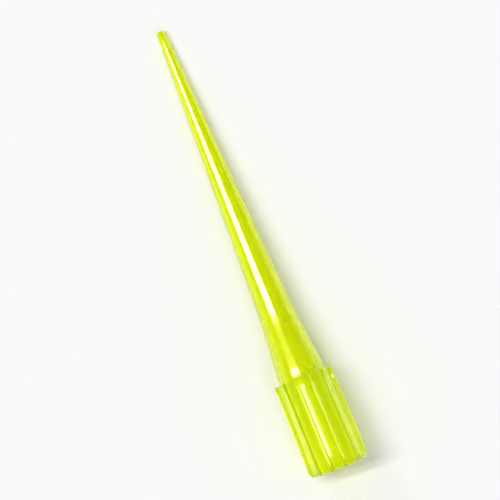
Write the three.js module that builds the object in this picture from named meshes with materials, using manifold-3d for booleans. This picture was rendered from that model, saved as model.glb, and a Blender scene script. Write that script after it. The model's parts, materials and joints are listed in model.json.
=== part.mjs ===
// A ribbed tip for a 200 microlitre pipette, moulded in one piece of translucent plastic.
// Millimetres, +Z up. The tip lies on the plane z = 0 as it comes to rest on a bench: on the feet of
// two neighbouring ribs and on the lower edge of its point. Its mouth faces +X and its point faces -X,
// and the origin is on the bench under the middle of the tip.
import * as THREE from 'three';
import { mergeVertices, toCreasedNormals } from 'three/addons/utils/BufferGeometryUtils.js';
import Module from 'manifold-3d';

// Lengths along the axis of the tip
const OVERALL_LENGTH = 51;
const COLLAR_LENGTH = 10.5;      // from the rim down to the shoulder
const NECK_LENGTH = 1;           // the socket goes on past the shoulder by this much
const FLARE_LENGTH = 6;          // from the end of the socket to the top of the long cone
const BEND_LENGTH = 1.5;         // each change of slope is rounded over this much on both sides

// Bores, as diameters
const MOUTH_BORE = 5.45;
const SOCKET_FOOT_BORE = 4.6;
const CONE_TOP_BORE = 3.2;
const ORIFICE_BORE = 0.5;
const LEAD_IN_WIDTH = 0.12;      // the mouth opens out by this much all round
const LEAD_IN_LENGTH = 0.4;

// Wall thicknesses
const RIM_WALL = 0.42;
const SHOULDER_WALL = 0.71;      // of the collar, just above the shoulder
const NECK_WALL = 0.34;          // just below the shoulder
const CONE_TOP_WALL = 0.42;
const POINT_WALL = 0.22;

// Ribs along the collar
const RIB_COUNT = 12;
const RIB_HEIGHT = 0.35;
const RIB_CREST_ROUND = 0.18;    // radius of the rounded crest
const RIB_DRAFT = THREE.MathUtils.degToRad(10);   // lean of each flank
const RIB_LEAD_LENGTH = 0.5;     // each rib rises to its full height over this much below the rim

const ROUND_SEGMENTS = 72;
const BEND_SEGMENTS = 5;
const CREST_SEGMENTS = 4;
const PAST = 1;                  // how far a cutting solid runs on past what it cuts

const wasm = await Module();
wasm.setup();

// Heights on the axis, from the point's end, and radii. A station is a corner of the outline.
const rimHeight = OVERALL_LENGTH;
const shoulderHeight = rimHeight - COLLAR_LENGTH;
const socketFootHeight = shoulderHeight - NECK_LENGTH;
const coneTopHeight = socketFootHeight - FLARE_LENGTH;

const station = (radius, height) => new THREE.Vector2(radius, height);
const orifice = station(ORIFICE_BORE / 2, 0);
const coneTopBore = station(CONE_TOP_BORE / 2, coneTopHeight);
const socketFootBore = station(SOCKET_FOOT_BORE / 2, socketFootHeight);
const mouthBore = station(MOUTH_BORE / 2, rimHeight);

// The radius of the socket's bore at a height.
const socketRadius = (height) =>
  THREE.MathUtils.mapLinear(
    height, socketFootHeight, rimHeight, socketFootBore.x, mouthBore.x);

const point = station(orifice.x + POINT_WALL, 0);
const coneTop = station(coneTopBore.x + CONE_TOP_WALL, coneTopHeight);
const neckFoot = station(socketFootBore.x + NECK_WALL, socketFootHeight);
const neckTop = station(socketRadius(shoulderHeight) + NECK_WALL, shoulderHeight);
const sleeveFoot = station(socketRadius(shoulderHeight) + SHOULDER_WALL, shoulderHeight);
const sleeveRim = station(mouthBore.x + RIM_WALL, rimHeight);

// The outer radius of the collar between its ribs at a height.
const sleeveRadius = (height) =>
  THREE.MathUtils.mapLinear(height, shoulderHeight, rimHeight, sleeveFoot.x, sleeveRim.x);

// Runs straight up to a corner and rounds it off towards the next one.
function bend(path, from, corner, to) {
  const before = corner.clone().lerp(from, BEND_LENGTH / corner.distanceTo(from));
  const after = corner.clone().lerp(to, BEND_LENGTH / corner.distanceTo(to));
  path.lineTo(before.x, before.y);
  path.quadraticCurveTo(corner.x, corner.y, after.x, after.y);
}

// Turns an outline, whose two ends are on the axis, about the Y axis.
const turned = (path) => new THREE.LatheGeometry(path.getPoints(BEND_SEGMENTS), ROUND_SEGMENTS);

// The outer form, filled in: cone, flare, neck and collar sleeve.
function outerForm() {
  const path = new THREE.Path();
  path.moveTo(0, point.y);
  path.lineTo(point.x, point.y);
  bend(path, point, coneTop, neckFoot);
  path.lineTo(neckFoot.x, neckFoot.y);
  path.lineTo(neckTop.x, neckTop.y);
  path.lineTo(sleeveFoot.x, sleeveFoot.y);
  path.lineTo(sleeveRim.x, sleeveRim.y);
  path.lineTo(0, sleeveRim.y);
  return turned(path);
}

// Everything inside the wall, from below the point to above the rim.
function boreForm() {
  const leadIn = station(mouthBore.x + LEAD_IN_WIDTH, rimHeight);
  const leadInFoot = station(socketRadius(rimHeight - LEAD_IN_LENGTH), rimHeight - LEAD_IN_LENGTH);
  const path = new THREE.Path();
  path.moveTo(0, -PAST);
  path.lineTo(orifice.x, -PAST);
  path.lineTo(orifice.x, orifice.y);
  bend(path, orifice, coneTopBore, socketFootBore);
  bend(path, coneTopBore, socketFootBore, mouthBore);
  path.lineTo(leadInFoot.x, leadInFoot.y);
  path.lineTo(leadIn.x, leadIn.y);
  path.lineTo(leadIn.x, leadIn.y + PAST);
  path.lineTo(0, leadIn.y + PAST);
  return turned(path);
}

// One side of a rib's outline at the shoulder: from the crest, down the leaning flank, to the root.
function ribFlank() {
  const crestMiddle = sleeveFoot.x + RIB_HEIGHT - RIB_CREST_ROUND;
  const flank = [];
  for (let step = 0; step <= CREST_SEGMENTS; step++) {
    const turn = (step / CREST_SEGMENTS) * (Math.PI / 2 - RIB_DRAFT);
    const out = crestMiddle + RIB_CREST_ROUND * Math.cos(turn);
    flank.push(new THREE.Vector2(out, RIB_CREST_ROUND * Math.sin(turn)));
  }
  const crestEnd = flank.at(-1);
  const fall = crestEnd.x - socketFootBore.x;
  flank.push(new THREE.Vector2(socketFootBore.x, crestEnd.y + fall * Math.tan(RIB_DRAFT)));
  return flank;
}

// A star of ribs, rooted inside the sleeve, that runs past both of its ends and widens as it does.
// Two of the ribs stand astride the -Z side, which is the side that the tip lies on.
function ribStar() {
  const flank = ribFlank();
  const otherFlank = flank.slice(1).reverse().map(({ x, y }) => new THREE.Vector2(x, -y));
  const outline = [];
  for (let rib = 0; rib < RIB_COUNT; rib++) {
    const turn = ((rib + 0.5) / RIB_COUNT) * 2 * Math.PI;
    for (const corner of [...otherFlank, ...flank]) {
      outline.push(corner.clone().rotateAround(new THREE.Vector2(), turn));
    }
  }
  const depth = COLLAR_LENGTH + 2 * PAST;
  const star = new THREE.ExtrudeGeometry(new THREE.Shape(outline), { depth, bevelEnabled: false });
  star.rotateX(-Math.PI / 2);
  star.translate(0, shoulderHeight - PAST, 0);
  const corners = star.attributes.position;
  for (let i = 0; i < corners.count; i++) {
    const height = corners.getY(i);
    const growth = (sleeveRadius(height) + RIB_HEIGHT) / (sleeveFoot.x + RIB_HEIGHT);
    corners.setXYZ(i, corners.getX(i) * growth, height, corners.getZ(i) * growth);
  }
  return star;
}

// What the ribs are trimmed to: square at the shoulder, and sloping in to the rim.
function ribLimit() {
  const slope = RIB_HEIGHT / RIB_LEAD_LENGTH;
  const footRadius = sleeveRim.x + slope * COLLAR_LENGTH;
  const limit = new THREE.CylinderGeometry(sleeveRim.x, footRadius, COLLAR_LENGTH, ROUND_SEGMENTS);
  return limit.translate(0, (shoulderHeight + rimHeight) / 2, 0);
}

function solidFrom(geometry) {
  const bare = geometry.clone();
  bare.deleteAttribute('normal');
  bare.deleteAttribute('uv');
  const merged = mergeVertices(bare, 1e-5);
  return new wasm.Manifold(new wasm.Mesh({
    numProp: 3,
    vertProperties: merged.attributes.position.array,
    triVerts: new Uint32Array(merged.index.array),
  }));
}

function geometryFrom(solid) {
  const mesh = solid.getMesh();
  const geometry = new THREE.BufferGeometry();
  geometry.setAttribute('position', new THREE.BufferAttribute(mesh.vertProperties, 3));
  geometry.setIndex(new THREE.BufferAttribute(mesh.triVerts, 1));
  return geometry;
}

// The whole moulding, along +X from the middle of its point's end.
function tipGeometry() {
  const ribs = solidFrom(ribStar()).intersect(solidFrom(ribLimit()));
  const moulding = solidFrom(outerForm()).add(ribs).subtract(solidFrom(boreForm()));
  return geometryFrom(moulding).rotateZ(-Math.PI / 2);
}

// How far the tip nods down towards its point when it lies on the bench. Seen from the side, every
// corner stays above the line from the point's lower edge to the corner that the tip rests on.
function restingTilt(geometry) {
  const corners = geometry.attributes.position;
  let slope = -Infinity;
  for (let i = 0; i < corners.count; i++) {
    const along = corners.getX(i);
    const isOnThePointsEnd = along < point.x;
    if (!isOnThePointsEnd) {
      slope = Math.max(slope, (-point.x - corners.getZ(i)) / along);
    }
  }
  return Math.atan(slope);
}

const geometry = tipGeometry();
const pipetteTip = new THREE.Mesh(
  toCreasedNormals(geometry, THREE.MathUtils.degToRad(25)),
  new THREE.MeshStandardMaterial({ color: '#c8e02c', roughness: 0.28, metalness: 0 }),
);
pipetteTip.name = 'pipette_tip';
pipetteTip.rotation.y = -restingTilt(geometry);

const part = new THREE.Group();
part.add(pipetteTip);
part.updateMatrixWorld(true);
const extent = new THREE.Box3().setFromObject(part, true);
const middle = extent.getCenter(new THREE.Vector3());
pipetteTip.position.set(-middle.x, -middle.y, -extent.min.z);

export default part;
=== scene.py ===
"""A ribbed 200 microlitre pipette tip of translucent plastic, lying on a pale bench under soft light."""

import json
import math

import bmesh
import bpy
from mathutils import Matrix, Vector


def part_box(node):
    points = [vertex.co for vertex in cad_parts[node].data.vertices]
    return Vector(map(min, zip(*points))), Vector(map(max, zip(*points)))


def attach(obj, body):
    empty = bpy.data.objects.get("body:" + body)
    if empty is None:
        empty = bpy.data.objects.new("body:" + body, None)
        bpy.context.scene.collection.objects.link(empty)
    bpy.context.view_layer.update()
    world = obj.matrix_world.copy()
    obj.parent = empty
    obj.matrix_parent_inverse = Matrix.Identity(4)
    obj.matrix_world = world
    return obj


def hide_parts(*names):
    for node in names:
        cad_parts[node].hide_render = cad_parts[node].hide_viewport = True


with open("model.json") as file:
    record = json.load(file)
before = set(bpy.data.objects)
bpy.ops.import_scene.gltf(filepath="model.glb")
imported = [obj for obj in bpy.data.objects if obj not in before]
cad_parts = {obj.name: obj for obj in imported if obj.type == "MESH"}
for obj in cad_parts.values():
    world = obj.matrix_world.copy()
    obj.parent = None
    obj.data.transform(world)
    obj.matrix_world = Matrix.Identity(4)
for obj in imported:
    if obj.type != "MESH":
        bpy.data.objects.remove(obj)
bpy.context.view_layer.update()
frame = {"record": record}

MM = 0.001                   # the tip is modelled in millimetres and put into place in metres

# Lengths along the axis of the tip
OVERALL_LENGTH = 51
COLLAR_LENGTH = 10.5
NECK_LENGTH = 1
FLARE_LENGTH = 6
BEND_LENGTH = 1.5

# Bores, as diameters
MOUTH_BORE = 5.45
SOCKET_FOOT_BORE = 4.6
CONE_TOP_BORE = 3.2
ORIFICE_BORE = 0.5
LEAD_IN_WIDTH = 0.12
LEAD_IN_LENGTH = 0.4

# Wall thicknesses
RIM_WALL = 0.42
SHOULDER_WALL = 0.71
NECK_WALL = 0.34
CONE_TOP_WALL = 0.42
POINT_WALL = 0.22

# Ribs along the collar
RIB_COUNT = 12
RIB_HEIGHT = 0.35
RIB_LEAN = 0.064             # each flank leans in by this much over the rib's height
RIB_CREST_BEVEL = 0.125
RIB_LEAD_LENGTH = 0.5

# Facets round the tip
COLUMNS_PER_RIB = 8          # from the middle of one gap to the middle of the next
COLUMNS_ON_RIB = 2
COLUMNS = RIB_COUNT * COLUMNS_PER_RIB

EDGE_ROUND = 0.05            # the moulding's small edge radius
ROW_LENGTH = 1.5             # long stretches of wall are cut into rows about this long
LONG_EDGE = 2.9              # an edge longer than this is cut
SAME_LENGTH = 0.06           # edges whose lengths differ by less are cut alike

# How parts of the wall are told apart, in millimetres and radians
SAME_PLACE = 0.01
CREST_BAND = 0.05            # what lies this little under the crests is part of a crest
RISE = 0.5                   # an edge that climbs more than this runs up the tip
SHARP_ANGLE = 0.5
SMOOTH_ANGLE = math.radians(35)


def blend(low, high, share):
    return low + (high - low) * share


# Heights on the axis, from the point's end
RIM = OVERALL_LENGTH
SHOULDER = RIM - COLLAR_LENGTH
SOCKET_FOOT = SHOULDER - NECK_LENGTH
CONE_TOP = SOCKET_FOOT - FLARE_LENGTH


def socket_radius(height):
    """The radius of the socket, which tapers from the mouth down to its foot."""
    return blend(SOCKET_FOOT_BORE / 2, MOUTH_BORE / 2, (height - SOCKET_FOOT) / (RIM - SOCKET_FOOT))


# Corners of the wall's outline, as (radius, height): up the outside, then down the bore
OUTSIDE = {
    "point": (ORIFICE_BORE / 2 + POINT_WALL, 0),
    "cone top": (CONE_TOP_BORE / 2 + CONE_TOP_WALL, CONE_TOP),
    "neck foot": (SOCKET_FOOT_BORE / 2 + NECK_WALL, SOCKET_FOOT),
    "neck top": (socket_radius(SHOULDER) + NECK_WALL, SHOULDER),
    "sleeve foot": (socket_radius(SHOULDER) + SHOULDER_WALL, SHOULDER),
    "sleeve rim": (MOUTH_BORE / 2 + RIM_WALL, RIM),
}
BORE = {
    "mouth": (MOUTH_BORE / 2 + LEAD_IN_WIDTH, RIM),
    "lead-in foot": (socket_radius(RIM - LEAD_IN_LENGTH), RIM - LEAD_IN_LENGTH),
    "socket foot": (SOCKET_FOOT_BORE / 2, SOCKET_FOOT),
    "cone top bore": (CONE_TOP_BORE / 2, CONE_TOP),
    "orifice": (ORIFICE_BORE / 2, 0),
}

# Where the frame has the tip: its axis, the turn that lays it down, and the middle of its point's end
rim_face = next(mount for mount in frame["record"]["mounts"] if mount["name"] == "rim_face")
AXIS = Vector(rim_face["axis"])
ACROSS = Vector((-AXIS.z, 0, AXIS.x))
LYING = (0, math.atan2(AXIS.x, AXIS.z), 0)
RIM_MIDDLE = (OUTSIDE["sleeve rim"][0] + BORE["mouth"][0]) / 2
POINT_END = Vector(rim_face["pos_m"]) - MM * (RIM_MIDDLE * ACROSS + RIM * AXIS)

# Colours of the plastic and the bench, linear
CLEAR_TINT = (0.96, 0.985, 0.30, 1)
CLOUDED_TINT = (0.93, 0.975, 0.12, 1)
DYE = (0.99, 0.998, 0.0, 1)
DYE_DENSITY = 7000           # per metre of plastic
UNDER_SKIN = (1, 1, 0.1, 1)  # what shines just under the clear skin is dyed
# Painted glow: the plastic gives out a faint light of its own, as emission that shines without any lamp
PAINTED_GLOW = (0.68, 0.80, 0.0, 1)
PAINTED_EDGE_GLOW = (5, 6, 0.2, 1)   # painted glow, far brighter on the rim, the shoulder, the rib feet and the point
PAINTED_GLOW_STRENGTH = 0.05
BENCH_LIT = (0.85, 0.85, 0.85, 1)
BENCH_SEEN = (1, 1, 1, 1)

# The surface of the plastic
REFRACTION = 1.49
CLEAR_ROUGHNESS = 0.2
CLOUDED_ROUGHNESS = 0.28
FROST_ROUGHNESS = 0.08       # the collar's frosting adds this much
FROST_GRAIN = 0.35           # how deep the frosting is beside the flow lines
SKIN_ROUGHNESS = 0.1
BORE_SKIN = 0.2              # the bore is less polished than the outside
RELIEF_DEPTH = 0.002         # millimetres
RELIEF_STRENGTH = 0.5

# Where one finish gives way to another: the values at which the change starts and ends
CLOUDING = (0.3, 0.7)        # of the cloud noise
FACING_ENDS = (0.7, 0.95)    # of how square a face is to the axis
FACING_AXIS = (0.05, 0.2)    # of how much a wall faces the axis, times its radius in millimetres
DOME_DIMMING = (0.05, 0.45)  # of the height of a direction above the bench

# The studio, in metres
DOME_LIGHT = 0.45
DOME_OVERHEAD = 0.06         # how bright gloss shows the dome overhead
BENCH_SIZE = 8
CAMERA_HEIGHT = 1.0
CAMERA_LENS = 665            # millimetres
CAMERA_TURN = 67.6           # degrees


# ---------------------------------------------------------------- modelling the tip

def pick(kind, wanted):
    """Selects, in edit mode, the "VERT", "EDGE" or "FACE" parts of the piece that pass a test."""
    bpy.ops.mesh.select_mode(type=kind)
    bpy.ops.mesh.select_all(action="DESELECT")
    mesh = bpy.context.edit_object.data
    shape = bmesh.from_edit_mesh(mesh)
    parts = {"VERT": shape.verts, "EDGE": shape.edges, "FACE": shape.faces}[kind]
    for part in parts:
        if wanted(part):
            part.select_set(True)
    shape.select_flush_mode()
    bmesh.update_edit_mesh(mesh)


def out_from_axis(place):
    return math.hypot(place.x, place.y)


def near(a, b):
    return abs(a - b) < SAME_PLACE


def on_ring(edge, corner):
    """Tells whether an edge is part of the ring at a corner of the outline."""
    radius, height = corner
    return all(
        near(out_from_axis(v.co), radius) and near(v.co.z, height) for v in edge.verts)


def extrude_ring(start, end):
    """Draws the selected ring out from one corner of the outline to the next."""
    bpy.ops.mesh.extrude_edges_move(TRANSFORM_OT_translate={"value": (0, 0, end[1] - start[1])})
    growth = end[0] / start[0]
    bpy.ops.transform.resize(value=(growth, growth, 1), center_override=(0, 0, end[1]))


def draw_wall():
    """Draws a ring up the outside, in over the rim and down the bore, and closes it at the point."""
    corners = [*OUTSIDE.values(), *BORE.values()]
    bpy.ops.mesh.primitive_circle_add(vertices=COLUMNS, radius=corners[0][0])
    bpy.ops.object.mode_set(mode="EDIT")
    bpy.ops.mesh.select_all(action="SELECT")
    for start, end in zip(corners, corners[1:]):
        extrude_ring(start, end)
    pick("EDGE", lambda e: on_ring(e, corners[0]) or on_ring(e, corners[-1]))
    bpy.ops.mesh.bridge_edge_loops()


def bend_wall():
    """Rounds the places where the wall changes its slope."""
    for corner in (OUTSIDE["cone top"], BORE["cone top bore"], BORE["socket foot"]):
        pick("EDGE", lambda e: on_ring(e, corner))
        bpy.ops.mesh.bevel(offset=BEND_LENGTH, segments=8, affect="EDGES")
    pick("EDGE", lambda e: on_ring(e, OUTSIDE["neck foot"]))
    bpy.ops.mesh.bevel(offset=NECK_LENGTH / 2, segments=4, affect="EDGES")


def cut_rows():
    """Cuts each long stretch of wall into rows."""
    shape = bmesh.from_edit_mesh(bpy.context.edit_object.data)
    lengths = {round(e.calc_length(), 1) for e in shape.edges if e.calc_length() > LONG_EDGE}
    for length in sorted(lengths):
        pick("EDGE", lambda e: abs(e.calc_length() - length) < SAME_LENGTH)
        bpy.ops.mesh.subdivide(number_cuts=round(length / ROW_LENGTH) - 1)


def on_a_rib(face):
    """Tells whether a face of the bare sleeve lies where a rib stands."""
    middle = face.calc_center_median()
    if middle.z < SHOULDER + SAME_PLACE or middle.z > RIM - EDGE_ROUND:
        return False
    if out_from_axis(middle) < OUTSIDE["sleeve foot"][0] - 2 * SAME_PLACE:
        return False
    pitch = 360 / RIB_COUNT
    turn = math.degrees(math.atan2(middle.y, middle.x)) % pitch
    return abs(turn - pitch / 2) < pitch * COLUMNS_ON_RIB / COLUMNS_PER_RIB / 2


def crest_radius(height):
    """How far from the axis the crests of the ribs are."""
    foot = OUTSIDE["sleeve foot"][0]
    head = OUTSIDE["sleeve rim"][0]
    return blend(foot, head, (height - SHOULDER) / COLLAR_LENGTH) + RIB_HEIGHT


def raise_ribs():
    """Raises the ribs from the sleeve, squares their feet at the shoulder and slopes them in to the rim."""
    pick("FACE", on_a_rib)
    bpy.ops.mesh.inset(thickness=RIB_LEAN, depth=RIB_HEIGHT, use_even_offset=True)
    pick("VERT", lambda v: on_a_crest(v) and v.co.z < SHOULDER + 2 * RIB_LEAN)
    bpy.ops.transform.resize(value=(1, 1, 0), center_override=(0, 0, SHOULDER))
    pick("VERT", lambda v: on_a_crest(v) and v.co.z > RIM - 3 * RIB_LEAN)
    bpy.ops.transform.resize(value=(1, 1, 0), center_override=(0, 0, RIM - RIB_LEAD_LENGTH))
    pick("EDGE", is_crest_side)
    bpy.ops.mesh.bevel(offset=RIB_CREST_BEVEL, segments=5, affect="EDGES")


def on_a_crest(vert):
    return out_from_axis(vert.co) > crest_radius(vert.co.z) - CREST_BAND


def is_crest_side(edge):
    """Tells whether an edge runs up the side of a rib's crest."""
    rises = abs(edge.verts[0].co.z - edge.verts[1].co.z) > RISE
    return rises and all(map(on_a_crest, edge.verts)) and edge.calc_face_angle() > SHARP_ANGLE


def on_foot_outline(edge):
    """Tells whether an edge is part of the outline that the sleeve and its ribs have at the shoulder."""
    flat = all(near(v.co.z, SHOULDER) for v in edge.verts)
    outside_neck = out_from_axis(edge.verts[0].co) > OUTSIDE["neck top"][0] + SAME_PLACE
    return flat and outside_neck and edge.calc_face_angle() > SHARP_ANGLE


def round_ends():
    """Rounds the edges of the rim and of the point."""
    for corner in (OUTSIDE["point"], OUTSIDE["sleeve rim"], BORE["mouth"], BORE["orifice"]):
        pick("EDGE", lambda e: on_ring(e, corner))
        bpy.ops.mesh.bevel(offset=EDGE_ROUND, segments=3, affect="EDGES")


def round_shoulder():
    """Rounds the outline of the shoulder with its rib feet, and the corner under it."""
    pick("EDGE", on_foot_outline)
    bpy.ops.mesh.bevel(offset=EDGE_ROUND, segments=2, affect="EDGES")
    pick("EDGE", lambda e: on_ring(e, OUTSIDE["neck top"]))
    bpy.ops.mesh.bevel(offset=2 * EDGE_ROUND, segments=4, affect="EDGES")


def lay_down(piece):
    """Lays the standing tip where the frame has it, in metres, and leaves its place in its mesh."""
    piece.scale = (MM, MM, MM)
    piece.rotation_euler = LYING
    piece.location = POINT_END
    bpy.ops.object.transform_apply()


def make_tip():
    bpy.ops.object.select_all(action="DESELECT")
    draw_wall()
    bend_wall()
    cut_rows()
    round_ends()
    raise_ribs()
    round_shoulder()
    bpy.ops.mesh.select_all(action="SELECT")
    bpy.ops.mesh.normals_make_consistent(inside=False)
    bpy.ops.object.mode_set(mode="OBJECT")
    piece = bpy.context.object
    piece.name = piece.data.name = "tip_moulding"
    lay_down(piece)
    bpy.ops.object.shade_smooth_by_angle(angle=SMOOTH_ANGLE)
    return piece


# ---------------------------------------------------------------- finishes

def add_node(tree, kind, inputs=None, **settings):
    """Adds a node, sets its properties, and sets or links the inputs that are given by name or number."""
    made = tree.nodes.new(kind)
    for name, value in settings.items():
        setattr(made, name, value)
    for name, value in (inputs or {}).items():
        if isinstance(value, bpy.types.NodeSocket):
            tree.links.new(value, made.inputs[name])
        else:
            made.inputs[name].default_value = value
    return made


def calculate(tree, operation, first, second=0.0):
    return add_node(tree, "ShaderNodeMath", {0: first, 1: second}, operation=operation).outputs[0]


def ramp(tree, value, low, high, start=0.0, end=1.0):
    """Goes smoothly from start to end while the value goes from low to high."""
    inputs = {"Value": value, "From Min": low, "From Max": high, "To Min": start, "To Max": end}
    return add_node(tree, "ShaderNodeMapRange", inputs, interpolation_type="SMOOTHSTEP").outputs[0]


def mix_numbers(tree, share, first, second):
    """Mixes two numbers, which are sockets 2 and 3 of the node."""
    return add_node(tree, "ShaderNodeMix", {"Factor": share, 2: first, 3: second}).outputs[0]


def mix_colours(tree, share, first, second):
    """Mixes two colours, which are sockets 6 and 7 of the node."""
    inputs = {"Factor": share, 6: first, 7: second}
    return add_node(tree, "ShaderNodeMix", inputs, data_type="RGBA").outputs[2]


def scaled(tree, places, scale):
    """Multiplies places by a scale for each axis."""
    return add_node(tree, "ShaderNodeVectorMath", {0: places, 1: scale}, operation="MULTIPLY").outputs[0]


def noise(tree, places, size, length, detail):
    """Noise whose lumps are about size across and so many times longer up the tip, in millimetres."""
    stretched = scaled(tree, places, (1, 1, 1 / length))
    inputs = {"Vector": stretched, "Scale": 1 / size, "Detail": detail}
    return add_node(tree, "ShaderNodeTexNoise", inputs).outputs["Fac"]


def new_tree(name):
    """Makes a material with an empty node tree."""
    material = bpy.data.materials.new(name)
    material.use_nodes = True
    material.node_tree.nodes.clear()
    return material, material.node_tree


def tip_millimetres(tree):
    """The tip's own places in millimetres, with Z up its axis from the end of its point."""
    here = add_node(tree, "ShaderNodeTexCoord").outputs["Object"]
    inputs = {"Vector": here, "Location": POINT_END, "Rotation": LYING, "Scale": (MM, MM, MM)}
    return add_node(tree, "ShaderNodeMapping", inputs, vector_type="TEXTURE").outputs[0]


def tip_normal(tree):
    """The way that the surface faces, with Z up the tip's axis."""
    normal = add_node(tree, "ShaderNodeTexCoord").outputs["Normal"]
    inputs = {"Vector": normal, "Rotation": LYING}
    return add_node(tree, "ShaderNodeMapping", inputs, vector_type="TEXTURE").outputs[0]


def dot(tree, first, second):
    inputs = {0: first, 1: second}
    return add_node(tree, "ShaderNodeVectorMath", inputs, operation="DOT_PRODUCT").outputs["Value"]


def ends_of_wall(tree, normal):
    """1 on the faces that are square to the axis: the rim, the shoulder, the rib feet and the point. It
    marks where the painted glow is brightest.
    """
    along = dot(tree, normal, (0, 0, 1))
    return ramp(tree, calculate(tree, "ABSOLUTE", along), *FACING_ENDS)


def wall_of_bore(tree, places, normal):
    """1 on the walls that face the axis: the socket, the bore and the orifice."""
    inward = dot(tree, normal, scaled(tree, places, (-1, -1, 0)))
    return ramp(tree, inward, *FACING_AXIS)


def outside_of_collar(tree, places):
    """1 on the sleeve and its ribs, which are further from the axis than the rest."""
    flat = scaled(tree, places, (1, 1, 0))
    out = add_node(tree, "ShaderNodeVectorMath", {0: flat}, operation="LENGTH").outputs["Value"]
    return ramp(tree, out, BORE["mouth"][0], OUTSIDE["sleeve foot"][0])


def tip_plastic():
    """Translucent polypropylene with a fluorescent dye: clouded a little, with fine flow lines along it,
    a finely frosted collar, a polished skin that is weaker in the bore, and a painted glow that is
    brightest at the ends of the wall."""
    material, tree = new_tree("tip_plastic")
    places = tip_millimetres(tree)
    cloud = ramp(tree, noise(tree, places, size=1.1, length=4.5, detail=3), *CLOUDING)
    flow = noise(tree, places, size=0.14, length=50, detail=2)
    grain = noise(tree, places, size=0.045, length=1, detail=2)
    frost = outside_of_collar(tree, places)
    normal = tip_normal(tree)

    tint = mix_colours(tree, cloud, CLEAR_TINT, CLOUDED_TINT)
    # painted glow, much brighter on the faces square to the axis
    painted_glow = mix_colours(tree, ends_of_wall(tree, normal), PAINTED_GLOW, PAINTED_EDGE_GLOW)
    skin = ramp(tree, wall_of_bore(tree, places, normal), 0, 1, start=1, end=BORE_SKIN)
    body_roughness = ramp(tree, cloud, 0, 1, CLEAR_ROUGHNESS, CLOUDED_ROUGHNESS)
    frost_roughness = ramp(tree, frost, 0, 1, 0, FROST_ROUGHNESS)
    roughness = calculate(tree, "ADD", body_roughness, frost_roughness)
    frost_grain = calculate(tree, "MULTIPLY", grain, ramp(tree, frost, 0, 1, 0, FROST_GRAIN))
    relief = add_node(tree, "ShaderNodeBump", {
        "Strength": RELIEF_STRENGTH, "Distance": RELIEF_DEPTH * MM,
        "Height": calculate(tree, "ADD", flow, frost_grain)})

    # the emission is painted glow, not light from any lamp
    shader = add_node(tree, "ShaderNodeBsdfPrincipled", {
        "Base Color": tint, "Roughness": roughness, "Normal": relief.outputs[0],
        "IOR": REFRACTION, "Specular Tint": UNDER_SKIN, "Transmission Weight": 1.0,
        "Coat Weight": skin, "Coat Roughness": SKIN_ROUGHNESS,
        "Emission Color": painted_glow, "Emission Strength": PAINTED_GLOW_STRENGTH})
    dyed = add_node(tree, "ShaderNodeVolumeAbsorption", {"Color": DYE, "Density": DYE_DENSITY})
    add_node(tree, "ShaderNodeOutputMaterial", {"Surface": shader.outputs[0], "Volume": dyed.outputs[0]})
    return material


def seen_rays(tree):
    """The kinds of ray, and 1 for those by which the camera sees, straight or through the tip."""
    path = add_node(tree, "ShaderNodeLightPath").outputs
    return path, calculate(tree, "MAXIMUM", path["Is Camera Ray"], path["Is Transmission Ray"])


def bench_white():
    """A white bench, which looks a little paler than the light that it gives back."""
    material, tree = new_tree("bench_white")
    path, seen = seen_rays(tree)
    seen = calculate(tree, "MAXIMUM", seen, path["Is Glossy Ray"])
    colour = mix_colours(tree, seen, BENCH_LIT, BENCH_SEEN)
    shader = add_node(tree, "ShaderNodeBsdfDiffuse", {"Color": colour})
    add_node(tree, "ShaderNodeOutputMaterial", {"Surface": shader.outputs[0]})
    return material


# ---------------------------------------------------------------- studio

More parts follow.
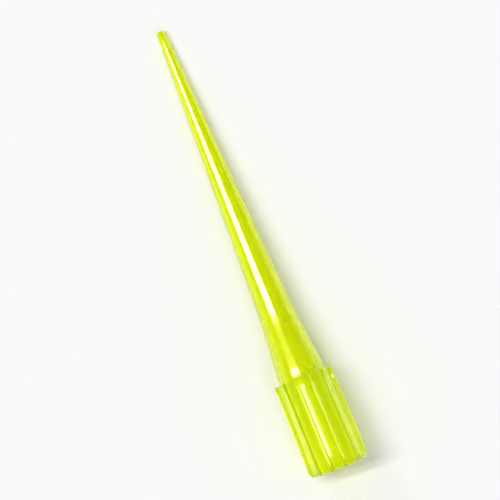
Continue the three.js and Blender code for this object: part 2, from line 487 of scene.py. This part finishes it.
def hang_dome():
    """Hangs an even dome of light over the bench. It is seen white, and gloss shows it dim overhead."""
    world = bpy.data.worlds.new("dome")
    world.use_nodes = True
    tree = world.node_tree
    tree.nodes.clear()
    direction = add_node(tree, "ShaderNodeTexCoord").outputs["Generated"]
    height = add_node(tree, "ShaderNodeSeparateXYZ", {0: direction}).outputs["Z"]
    path, seen = seen_rays(tree)
    in_gloss = ramp(tree, height, *DOME_DIMMING, start=1, end=DOME_OVERHEAD)
    strength = mix_numbers(tree, path["Is Glossy Ray"], DOME_LIGHT, in_gloss)
    strength = mix_numbers(tree, seen, strength, 1.0)
    back = add_node(tree, "ShaderNodeBackground", {"Color": (1, 1, 1, 1), "Strength": strength})
    add_node(tree, "ShaderNodeOutputWorld", {"Surface": back.outputs[0]})
    bpy.context.scene.world = world


def hang_softbox(name, place, width, height, radiance):
    """Hangs a softbox or a strip lamp that faces the tip. Its radiance is how bright its face looks, where
    1 is white."""
    lamp = bpy.data.lights.new(name, "AREA")
    lamp.shape = "RECTANGLE"
    lamp.size = width
    lamp.size_y = height
    lamp.energy = radiance * math.pi * width * height
    softbox = bpy.data.objects.new(name, lamp)
    bpy.context.scene.collection.objects.link(softbox)
    softbox.location = place
    softbox.rotation_euler = Vector((0, 0, -1)).rotation_difference(-Vector(place)).to_euler()


def lay_bench():
    bpy.ops.mesh.primitive_plane_add(size=BENCH_SIZE)
    bench = bpy.context.object
    bench.name = "bench"
    bench.data.materials.append(bench_white())


def set_camera():
    """Looks straight down on the tip, turned so that its point is at the upper left."""
    lens = bpy.data.cameras.new("camera")
    lens.lens = CAMERA_LENS
    camera = bpy.data.objects.new("camera", lens)
    bpy.context.scene.collection.objects.link(camera)
    low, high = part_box("pipette_tip")
    middle = (low + high) / 2
    camera.location = (middle.x, middle.y, CAMERA_HEIGHT)
    camera.rotation_euler = (0, 0, math.radians(CAMERA_TURN))
    bpy.context.scene.camera = camera


tip = make_tip()
tip.data.materials.append(tip_plastic())
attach(tip, "root")
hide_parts("pipette_tip")

lay_bench()
hang_dome()
hang_softbox("cone_strip", place=(-1.29, -2.1, 5.0), width=0.36, height=3.8, radiance=24)
hang_softbox("collar_strip", place=(-0.70, -2.1, 5.0), width=0.17, height=2.1, radiance=24)
hang_softbox("left_softbox", place=(-2.1, -0.78, 1.7), width=0.65, height=0.65, radiance=6)
hang_softbox("right_softbox", place=(1.68, 0.28, 2.2), width=0.65, height=0.65, radiance=6)
set_camera()
bpy.context.scene.view_settings.view_transform = "Standard"
